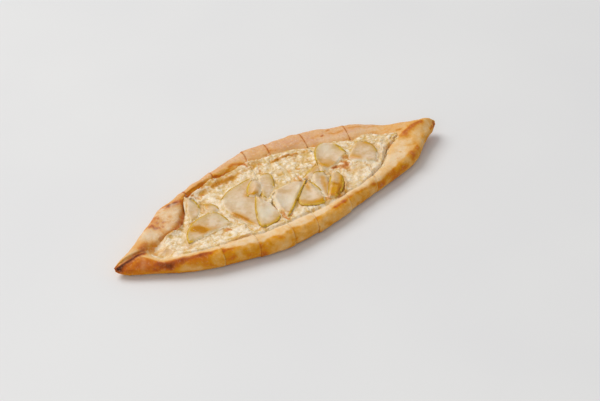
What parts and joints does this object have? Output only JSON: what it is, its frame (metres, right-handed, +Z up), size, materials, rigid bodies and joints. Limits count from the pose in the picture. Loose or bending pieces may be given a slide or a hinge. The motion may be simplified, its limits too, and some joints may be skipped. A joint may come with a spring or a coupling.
{
  "type": "cheese, pear and honey pide",
  "caption": "Boat-shaped baked flatbread with a folded rim and pinched tips, filled with melted white cheese, topped with thin pear slices and honey, and cut across into slices that stay together.",
  "frame": {"origin": "centre of the box in plan, at the height of the flat underside", "axes": "+X along the bread towards its raised tip, +Y away from the side that the picture is taken from, +Z up"},
  "size_m": [0.3252, 0.1202, 0.0222],
  "materials": {
    "crust": "golden baked crust, matt and floury on top, browned along its ridges",
    "cheese": "cream-white melted curd cheese, satin, with orange-brown baked spots",
    "pear": "thin translucent pear flesh, moist, with olive skin along some edges"
  },
  "bodies": {
    "root": {"crust_slice_1": "crust", "crust_slice_2": "crust", "crust_slice_3": "crust", "crust_slice_4": "crust", "crust_slice_5": "crust", "crust_slice_6": "crust", "crust_slice_7": "crust", "cheese_slice_1": "cheese", "cheese_slice_2": "cheese", "cheese_slice_3": "cheese", "cheese_slice_4": "cheese", "cheese_slice_5": "cheese", "cheese_slice_6": "cheese", "cheese_slice_7": "cheese", "pear_slice_1": "pear", "pear_slice_2": "pear", "pear_slice_3": "pear", "pear_slice_4": "pear", "pear_slice_5": "pear", "pear_slice_6": "pear", "pear_slice_7": "pear", "pear_slice_8": "pear", "pear_slice_9": "pear", "pear_slice_10": "pear", "pear_slice_11": "pear", "pear_slice_12": "pear", "pear_slice_13": "pear", "pear_slice_14": "pear"}
  },
  "joints": []
}
